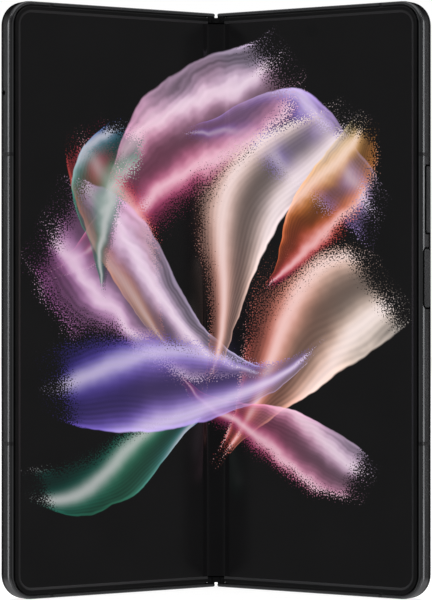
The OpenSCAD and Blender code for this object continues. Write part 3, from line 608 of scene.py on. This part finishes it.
def film(name, side, x0, x1, y_front, y_back, z_lo, z_hi, mat, steps=None):
    """A thin film between two depths: a column of points for each x, bent round the fold near x = 0."""
    xs = steps or ([i * 0.2 for i in range(int(FOLD / 0.2) + 8)] + [6.4, 8, 12, 20, 30, 40, 50, 54, 56])
    xs = sorted({round(v, 4) for v in xs if x0 - 1e-6 <= v <= x1 + 1e-6} | {x0, x1})
    verts, uvs = [], []
    for x in xs:
        for y in (y_front, y_back):
            px, py = bent(x, y)
            for z in (z_lo(x), z_hi(x)):
                verts.append((side * px / 1000, (py + Y_MID) / 1000, z / 1000))
                uvs.append((side * x / 100, z / 100))
    n, faces = len(xs), []
    for i in range(n - 1):
        a, b = 4 * i, 4 * (i + 1)
        faces += [(a, a + 1, b + 1, b), (a + 2, b + 2, b + 3, a + 3), (a, b, b + 2, a + 2), (a + 1, a + 3, b + 3, b + 1)]
    faces += [(0, 2, 3, 1), (4 * n - 4, 4 * n - 3, 4 * n - 1, 4 * n - 2)]
    ob = new_object(name, verts, faces, mat, uvs=uvs)
    mark_sharp(ob.data, 50)
    return ob


def blend_half(ob, side):
    s = Vector((0, Y_MID / 1000, 0.0791))
    e = Vector((side * _ex / 1000, (_ey + Y_MID) / 1000, 0.0791))
    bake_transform(ob)


PX, PR = W - 2.0, 4.5


def inset(x):
    base = 3.15 if x < 2.4 else 2.0
    if 2.4 <= x < 2.6:
        base = 3.15 - 1.15 * (x - 2.4) / 0.2
    k = x - (PX - PR)
    return base + (PR - math.sqrt(max(PR * PR - k * k, 0.0)) if k > 0 else 0.0)


cols = [i * 0.2 for i in range(13)] + [2.4, 2.6] + [2.8 + i * 0.2 for i in range(15)] + [6.4, 8, 12, 20, 30, 40, 50]
cols += [PX - PR + PR * math.sin(math.radians(a)) for a in (0, 8, 16, 24, 32, 40, 48, 56, 64, 72, 80, 86, 90)]
for side, name in ((1, "right"), (-1, "left")):
    ob = film(f"display_{name}", side, 0.0, PX, 0.0, 0.4, lambda x: inset(x), lambda x: H - inset(x), M["display"], cols)
    blend_half(ob, side)
    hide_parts(f"{name}_display_panel")
    if side > 0:
        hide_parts("inner_display_fold")


# ------------------------------------------------------------------ materials of the inside
def metal(name, base, rough=0.35, brushed=(1, 1, 1), scale=2500.0, bump=0.1):
    g = G(name)
    p = g.coords()
    streak = g.noise(g.scaled(p, brushed), scale, 3.0, 0.6)
    cloud = g.noise(p, 120.0, 3.0, 0.5)
    g.set(base=g.ramp(streak * 0.5 + cloud * 0.5, [(0.3, tuple(c * 0.86 for c in base)), (0.7, tuple(min(c * 1.1, 1) for c in base))], "LINEAR"), metallic=1.0)
    g.set(rough=streak.step(0.3, 0.7, to=(rough - 0.06, rough + 0.06)))
    g.bump(streak, bump, 0.00002)
    return g.mat


def board(name, base, trace):
    g = G(name)
    p = g.coords()
    x, y, z = g.split(p)
    lines = g.voronoi(g.vec(x * 700.0, y * 20.0, z * 350.0), 1.0, "DISTANCE_TO_EDGE")
    vias = g.voronoi(g.vec(x * 900.0, y * 20.0, z * 900.0), 1.0, "F1", 0.5)
    mask = g.noise(p, 500.0, 2.0)
    tone = g.ramp(mask, [(0.35, tuple(c * 0.85 for c in base)), (0.65, tuple(c * 1.15 for c in base))], "LINEAR")
    tone = g.mix(lines.step(0.06, 0.02), tone, trace)
    tone = g.mix(vias.step(0.16, 0.12), tone, (0.72, 0.50, 0.20))
    g.set(base=tone, spec=0.5, coat=0.5, coat_rough=0.2)
    g.set(rough=mask.step(0.3, 0.7, to=(0.30, 0.42)))
    g.bump(lines, 0.15, 0.00003)
    return g.mat


def battery_wrap():
    g = G("battery_pouch")
    p = g.coords()
    x, y, z = g.split(p)
    wrinkle = g.noise(p, 180.0, 4.0, 0.55, 0.4)
    seam = g.noise(g.vec(x * 40.0, y * 40.0, z * 900.0), 1.0, 2.0)
    g.set(base=g.ramp(wrinkle, [(0.3, (0.045, 0.046, 0.050)), (0.7, (0.070, 0.071, 0.076))], "LINEAR"), metallic=0.55)
    g.set(rough=seam.step(0.3, 0.7, to=(0.36, 0.50)))
    g.bump(wrinkle, 0.25, 0.0001)
    return g.mat


def winding():
    g = G("copper_winding")
    p = g.coords()
    x, y, z = g.split(p)
    turns = ((x * x + z * z).sqrt() * 9000.0).sin() * 0.5 + 0.5
    ox = g.noise(p, 300.0, 3.0)
    g.set(base=g.ramp(ox, [(0.3, (0.62, 0.27, 0.12)), (0.7, (0.78, 0.40, 0.20))], "LINEAR"), metallic=1.0)
    g.set(rough=ox.step(0.3, 0.7, to=(0.24, 0.40)))
    g.bump(turns, 0.35, 0.00004)
    return g.mat


def flex_film():
    g = G("flex_film")
    p = g.coords()
    x, y, z = g.split(p)
    tracks = (z * 9000.0).sin() * 0.5 + 0.5
    grain = g.noise(p, 800.0, 2.0)
    tone = g.mix(tracks.step(0.5, 0.8) * 0.55, (0.42, 0.20, 0.045), (0.70, 0.40, 0.12))
    g.set(base=tone, coat=0.4, coat_rough=0.2, spec=0.5)
    g.set(rough=grain.step(0.3, 0.7, to=(0.28, 0.40)))
    g.bump(tracks, 0.15, 0.00002)
    return g.mat


def bristle():
    g = G("bristle")
    p = g.coords()
    x, y, z = g.split(p)
    hair = g.noise(g.vec(x * 900.0, y * 900.0, z * 9000.0), 1.0, 3.0, 0.6)
    g.set(base=g.ramp(hair, [(0.3, (0.010, 0.010, 0.011)), (0.7, (0.040, 0.040, 0.043))], "LINEAR"), sheen=0.3, spec=0.3)
    g.set(rough=hair.step(0.3, 0.7, to=(0.65, 0.9)))
    g.bump(hair, 0.6, 0.00008)
    return g.mat


def optic(name, deep, tint, rim_reflection, rough=0.03, reach=2.6):
    """Coated optical glass: dark in the middle of each lens, with a painted reflection of its coating in colour towards
    the rim.
    """
    g = G(name)
    u, depth, z = half_space(g)
    du = u - 50.6
    dz = (z - (H - 33.5) + 13.6 * 1.5).mod(13.6) - 6.8
    dirt = g.noise(g.coords(), 500.0, 3.0)
    turn = (du * du + dz * dz).sqrt() / reach + (dirt - 0.5) * 0.08
    # painted reflection: the coating's colours lie in rings by distance from each lens's centre
    tone = g.ramp(turn, [(0.0, deep), (0.35, deep), (0.62, tint), (0.85, rim_reflection), (1.0, deep)], "EASE")
    g.set(base=tone, ior=1.7, spec=0.7, coat=1.0, coat_rough=0.02)
    g.set(rough=dirt.step(0.4, 0.8, to=(rough, rough + 0.05)))
    g.bump(dirt, 0.01, 0.00002)
    return g.mat


def diffuser():
    g = G("flash_diffuser")
    p = g.coords()
    x, y, z = g.split(p)
    cells = g.voronoi(g.scaled(p, 1.0), 2600.0, "F1", 0.35)
    g.set(base=g.ramp(cells, [(0.0, (0.86, 0.80, 0.55)), (0.6, (0.74, 0.66, 0.36))], "LINEAR"), coat=1.0, coat_rough=0.05, spec=0.6)
    g.set(rough=cells.step(0.0, 0.6, to=(0.15, 0.3)))
    g.bump(cells, 0.5, 0.0001)
    return g.mat


M["steel"] = metal("stainless", (0.52, 0.52, 0.53), 0.30, (1, 1, 6))
M["gear"] = metal("gear_steel", (0.42, 0.41, 0.39), 0.28, (3, 3, 0.4), 4000.0)
# lens covers: a painted coating reflection towards each rim
M["lens"] = optic("lens_cover", (0.004, 0.005, 0.008), (0.006, 0.007, 0.014), (0.020, 0.018, 0.045))
M["module"] = plastic("sensor_module", (0.016, 0.016, 0.018), 0.38, 5000.0, 0.3)
M["flash"] = diffuser()
M["board"] = board("circuit_board", (0.010, 0.055, 0.032), (0.020, 0.110, 0.055))
M["shield"] = metal("shield_can", (0.60, 0.60, 0.61), 0.36, (1, 1, 4), 1800.0, 0.15)
M["battery"] = battery_wrap()
M["copper"] = winding()
M["flex"] = flex_film()
M["port"] = metal("port_shell", (0.45, 0.45, 0.46), 0.25, (5, 5, 1))
M["magnet"] = metal("magnet_nickel", (0.58, 0.57, 0.55), 0.22, (1, 1, 1), 900.0, 0.05)
M["screw"] = metal("screw_black", (0.16, 0.16, 0.165), 0.30, (1, 1, 1), 5000.0)
M["plastic"] = plastic("moulded_plastic", (0.024, 0.024, 0.026), 0.5)
M["brush"] = bristle()

PARTS = {s["node"]: s for s in frame["record"]["subparts"]}
for name, ob in NODES.items():
    ob.data.materials.clear()
    ob.data.materials.append(M.get(PARTS[name]["material_slot"], M["plastic"]))

def flat_uv(ob, side):
    """Coordinates of the unfolded phone on a piece of one half: across and up, in tenths of a metre."""
    layer = ob.data.uv_layers.new(name="flat")
    for loop in ob.data.loops:
        v = ob.data.vertices[loop.vertex_index].co * 1000.0
        px, py = side * v.x - AX, v.y - Y_MID
        layer.data[loop.index].uv = (side * (AX + px * CS - py * SN) / 100.0, v.z / 100.0)


# ------------------------------------------------------------------ the pieces that show
for side in ("right", "left"):
    refine(f"{side}_frame", f"rail_{side}", M["rail"], bevel=0, sharp=30, line=rail_line(1 if side == "right" else -1))
    flat_uv(refine(f"{side}_bezel", f"frame_lip_{side}", M["bezel"], bevel=0, sharp=30), 1 if side == "right" else -1)
    refine(f"{side}_antenna_breaks", f"aerial_lines_{side}", M["breaks"], bevel=0, sharp=30)
refine("volume_key", "volume_rocker", M["key"], bevel=0.12, segs=3)
refine("power_key", "power_touch_key", M["power"], bevel=0.10, segs=3)
refine("sim_tray", "card_drawer", M["tray"], bevel=0.05)
refine("spine_cover", "spine_shell", M["spine"], bevel=0.05)
refine("crease_caps", "fold_end_caps", M["caps"], bevel=0.03)
refine("rear_glass", "rear_pane", M["back_glass"], bevel=0.10, segs=3)
refine("camera_housing", "camera_island", M["camera_metal"], bevel=0.12, segs=3)
refine("camera_lens_rings", "lens_surrounds", M["camera_ring"], bevel=0.06)


def lathe(name, side, cx, cz, profile, mat, segs=64, sharp=35):
    """A turned piece about an axis through the depth of a half: profile is a closed list of (radius, depth)."""
    verts, faces, n = [], [], len(profile)
    for i in range(segs):
        a = math.tau * i / segs
        for r, y in profile:
            verts.append(world(side, cx + r * math.cos(a), y, cz + r * math.sin(a)))
    for i in range(segs):
        j = (i + 1) % segs
        for k in range(n):
            m = (k + 1) % n
            faces.append((i * n + k, i * n + m, j * n + m, j * n + k))
    ob = new_object(name, verts, faces, mat)
    bm = bmesh.new()
    bm.from_mesh(ob.data)
    bmesh.ops.remove_doubles(bm, verts=bm.verts, dist=1e-7)
    bmesh.ops.recalc_face_normals(bm, faces=bm.faces)
    bm.to_mesh(ob.data)
    bm.free()
    mark_sharp(ob.data, sharp)
    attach(ob, "right_half" if side > 0 else "left_half")
    return ob


def clear_pane():
    """Thin flat glass over a lens: clear straight on, with a coated reflection."""
    g = G("lens_pane_clear")
    for l in list(g.out.inputs["Surface"].links):
        g.nt.links.remove(l)
    clear = g.node("ShaderNodeBsdfTransparent")
    clear.inputs["Color"].default_value = (0.82, 0.84, 0.88, 1)
    gloss = g.node("ShaderNodeBsdfGlossy")
    gloss.inputs["Color"].default_value = (0.85, 0.90, 1.0, 1)
    dirt = g.noise(g.coords(), 700.0, 3.0)
    g.link(dirt.step(0.4, 0.8, to=(0.02, 0.06)), gloss.inputs["Roughness"])
    fres = g.node("ShaderNodeFresnel")
    fres.inputs["IOR"].default_value = 1.6
    m = g.node("ShaderNodeMixShader")
    g.link(fres.outputs[0], m.inputs["Fac"])
    g.link(clear.outputs[0], m.inputs[1])
    g.link(gloss.outputs[0], m.inputs[2])
    g.link(m.outputs[0], g.out.inputs["Surface"])
    return g.mat


M["pane"] = clear_pane()
M["barrel"] = plastic("lens_barrel", (0.010, 0.010, 0.011), 0.35, 6000.0, 0.2)
# lens elements: a painted coating reflection in blue and purple towards each rim
M["element"] = optic("lens_element", (0.004, 0.006, 0.012), (0.012, 0.026, 0.085), (0.080, 0.024, 0.110), 0.02)
CAMS = [(50.6, H - 33.5 + k * 13.6) for k in (1, 0, -1)]
for i, (cx, cz) in enumerate(CAMS):
    pane = lathe(f"lens_pane_{i + 1}", 1, cx, cz, [(0.0, 6.95), (5.0, 6.95), (5.04, 7.0), (5.04, 7.12), (4.96, 7.19), (0.0, 7.19)], M["pane"])
    if i == 0:
        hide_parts("camera_lens_covers")
    r0 = (2.35, 2.75, 2.15)[i]
    barrel = lathe(f"lens_barrel_{i + 1}", 1, cx, cz,
                   [(r0 - 0.15, 6.04), (5.0, 6.04), (5.0, 6.90), (4.35, 6.90), (4.25, 6.78), (3.75, 6.78), (3.65, 6.62), (3.15, 6.62), (3.05, 6.48), (r0 + 0.1, 6.40), (r0, 6.30)], M["barrel"])
    dome = [(0.0, 6.05), (r0 - 0.05, 6.05)] + [((r0 - 0.05) * math.cos(math.radians(a)), 6.12 + 0.46 * math.sin(math.radians(a))) for a in (0, 12, 26, 40, 54, 68, 80, 90)]
    element = lathe(f"lens_element_{i + 1}", 1, cx, cz, dome, M["element"], sharp=60)
refine("flash_window", "flash_pane", M["flash"], bevel=0.08)


pane = refine("cover_glass", "cover_pane", M["black_glass"], bevel=0.10, segs=3)
flat_uv(pane, -1)

# flex cables, each in two parts, one on each half
flex_path = [turned(x, 1.75, TH) for x in (8.1, 7.4, 6.9)] + [(4.6, 2.3), (3.2, 3.1), (1.2, 3.4), (0.0, 3.4)]
flex_path = flex_path[::-1]


def resample(path, n):
    seg = [math.dist(path[i], path[i + 1]) for i in range(len(path) - 1)]
    total, out = sum(seg), []
    for k in range(n + 1):
        d, i = total * k / n, 0
        while i < len(seg) - 1 and d > seg[i]:
            d -= seg[i]
            i += 1
        f = min(d / seg[i], 1.0)
        out.append((path[i][0] + (path[i + 1][0] - path[i][0]) * f, path[i][1] + (path[i + 1][1] - path[i][1]) * f))
    return out


for side, name in ((1, "right"), (-1, "left")):
    verts, faces = [], []
    pts = resample(flex_path, 40)
    for z0 in (H / 2 - 20, H / 2 + 12):
        first = len(verts)
        for px, py in pts:
            for dy in (0.0, 0.12):
                for z in (z0, z0 + 12):
                    verts.append((side * px / 1000, (py + dy + Y_MID) / 1000, z / 1000))
        n = len(pts)
        for i in range(n - 1):
            a, b = first + 4 * i, first + 4 * (i + 1)
            faces += [(a, a + 1, b + 1, b), (a + 2, b + 2, b + 3, a + 3), (a, b, b + 2, a + 2), (a + 1, a + 3, b + 3, b + 1)]
        faces += [(first, first + 2, first + 3, first + 1), (first + 4 * n - 4, first + 4 * n - 3, first + 4 * n - 1, first + 4 * n - 2)]
    ob = new_object(f"fold_flex_{name}", verts, faces, M["flex"])
    mark_sharp(ob.data, 50)
    e = turned(6.9, 1.75, TH)
    (3.1 + Y_MID) / 1000
    side * e[0] / 1000
    (e[1] + Y_MID) / 1000
    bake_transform(ob)
    if side > 0:
        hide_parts("hinge_flex_cables")

# ------------------------------------------------------------------ floor, light and camera
scene = bpy.context.scene


def floor_material():
    g = G("studio_floor")
    n = g.noise(g.coords(), 3.0, 2.0)
    g.set(base=g.ramp(n, [(0.3, (0.24, 0.24, 0.24)), (0.7, (0.26, 0.26, 0.26))], "LINEAR"), spec=0.1, emit=(1.0, 1.0, 1.0), emit_strength=0.87)
    g.set(rough=n.step(0.3, 0.7, to=(0.85, 0.9)))
    return g.mat


floor = new_object("studio_floor", [(-3, -3, -0.00002), (3, -3, -0.00002), (3, 3, -0.00002), (-3, 3, -0.00002)], [(0, 1, 2, 3)], floor_material(), smooth_all=False)
floor.visible_glossy = False
floor.visible_diffuse = False


def area(name, loc, target, size_x, size_y, power, glossy=True, diffuse=True):
    li = bpy.data.lights.new(name, "AREA")
    li.shape = "RECTANGLE"
    li.size, li.size_y = size_x, size_y
    li.energy = power
    ob = bpy.data.objects.new(name, li)
    scene.collection.objects.link(ob)
    ob.location = loc
    d = Vector(target) - Vector(loc)
    ob.rotation_euler = d.to_track_quat("-Z", "Y").to_euler()
    ob.visible_camera = False
    ob.visible_glossy = glossy
    ob.visible_diffuse = diffuse
    return ob


MIDDLE = (0.0, Y_MID / 1000, 0.079)
for s in (-1, 1):
    area(f"strip_{'left' if s < 0 else 'right'}", (s * 1.085, 0.366, 0.08), MIDDLE, 0.07, 1.7, 0.62)
area("overhead", (0.0, -0.25, 1.4), MIDDLE, 1.6, 1.2, 14.0, glossy=False)
area("front_fill", (0.0, -2.0, 0.7), MIDDLE, 1.6, 1.2, 15.0, glossy=False)
for s in (-1, 1):
    area(f"rear_{'left' if s < 0 else 'right'}", (s * 0.45, 1.0, 1.5), MIDDLE, 0.9, 0.9, 32.0, glossy=False)

w = bpy.data.worlds.new("studio")
scene.world = w
w.use_nodes = True
nt = w.node_tree
for n in list(nt.nodes):
    nt.nodes.remove(n)
out = nt.nodes.new("ShaderNodeOutputWorld")
path = nt.nodes.new("ShaderNodeLightPath")
grey = nt.nodes.new("ShaderNodeBackground")
tc = nt.nodes.new("ShaderNodeTexCoord")
sep = nt.nodes.new("ShaderNodeSeparateXYZ")
# even grey all round, falling off towards the camera's side and straight behind the phone
ramp = nt.nodes.new("ShaderNodeValToRGB")
ramp.color_ramp.interpolation = "EASE"
levels = [(0.0, 0.03), (0.10, 0.06), (0.26, 0.175), (0.40, 0.11), (0.50, 0.075), (0.60, 0.10), (0.68, 0.14), (0.755, 0.14), (0.83, 0.02), (0.88, 0.003), (1.0, 0.003)]
els = ramp.color_ramp.elements
els[0].position, els[0].color = 0.0, (0.03, 0.03, 0.03, 1)
els[1].position, els[1].color = 1.0, (0.003, 0.003, 0.003, 1)
for pos, v in levels[1:-1]:
    e = els.new(pos)
    e.color = (v, v, v, 1)
half = nt.nodes.new("ShaderNodeMath")
half.operation = "MULTIPLY_ADD"
half.inputs[1].default_value = 0.5
half.inputs[2].default_value = 0.5
nt.links.new(tc.outputs["Generated"], sep.inputs[0])
nt.links.new(sep.outputs["Y"], half.inputs[0])
nt.links.new(half.outputs[0], ramp.inputs["Fac"])
# above and below, away from what the main view reflects, glossy surfaces see a bright studio


def rise(sock, lo, hi, level):
    m = nt.nodes.new("ShaderNodeMapRange")
    m.interpolation_type = "SMOOTHSTEP"
    nt.links.new(sock, m.inputs["Value"])
    m.inputs["From Min"].default_value, m.inputs["From Max"].default_value = lo, hi
    m.inputs["To Min"].default_value, m.inputs["To Max"].default_value = 0.0, level
    return m.outputs["Result"]


low = nt.nodes.new("ShaderNodeMath")
low.operation = "MULTIPLY"
nt.links.new(rise(sep.outputs["Z"], -0.14, -0.40, 0.30), low.inputs[0])
share = nt.nodes.new("ShaderNodeMath")
share.inputs[1].default_value = 0.6
nt.links.new(rise(sep.outputs["Y"], 0.10, 0.40, 0.4), share.inputs[0])
nt.links.new(share.outputs[0], low.inputs[1])
glow = [low.outputs[0], rise(sep.outputs["Z"], 0.45, 0.80, 0.42)]
both = nt.nodes.new("ShaderNodeMath")
nt.links.new(glow[0], both.inputs[0])
nt.links.new(glow[1], both.inputs[1])
glossy = nt.nodes.new("ShaderNodeMath")
glossy.operation = "MULTIPLY"
nt.links.new(both.outputs[0], glossy.inputs[0])
nt.links.new(path.outputs["Is Glossy Ray"], glossy.inputs[1])
total = nt.nodes.new("ShaderNodeMix")
total.data_type = "RGBA"
total.blend_type = "ADD"
total.inputs["Factor"].default_value = 1.0
pair = [i for i in total.inputs if i.type == "RGBA"]
nt.links.new(ramp.outputs["Color"], pair[0])
nt.links.new(glossy.outputs[0], pair[1])
nt.links.new(next(o for o in total.outputs if o.type == "RGBA"), grey.inputs["Color"])
grey.inputs["Strength"].default_value = 1.0
white = nt.nodes.new("ShaderNodeBackground")
white.inputs["Color"].default_value = (1, 1, 1, 1)
white.inputs["Strength"].default_value = 1.0
mix = nt.nodes.new("ShaderNodeMixShader")
nt.links.new(path.outputs["Is Camera Ray"], mix.inputs["Fac"])
nt.links.new(grey.outputs[0], mix.inputs[1])
nt.links.new(white.outputs[0], mix.inputs[2])
nt.links.new(mix.outputs[0], out.inputs["Surface"])

cam_data = bpy.data.cameras.new("camera")
cam_data.lens = 162.36
cam_data.sensor_width = 36.0
cam_data.sensor_fit = "AUTO"
cam_data.dof.use_dof = False
cam_data.clip_start, cam_data.clip_end = 0.01, 20.0
cam = bpy.data.objects.new("camera", cam_data)
scene.collection.objects.link(cam)
cam.location = (-0.00002, Y_MID / 1000 - 0.745, 0.07913)
cam.rotation_euler = (math.radians(90), 0.0, 0.0)
scene.camera = cam
scene.view_settings.view_transform = "Standard"
scene.view_settings.look = "None"
scene.view_settings.exposure = 0.0
scene.view_settings.gamma = 1.0
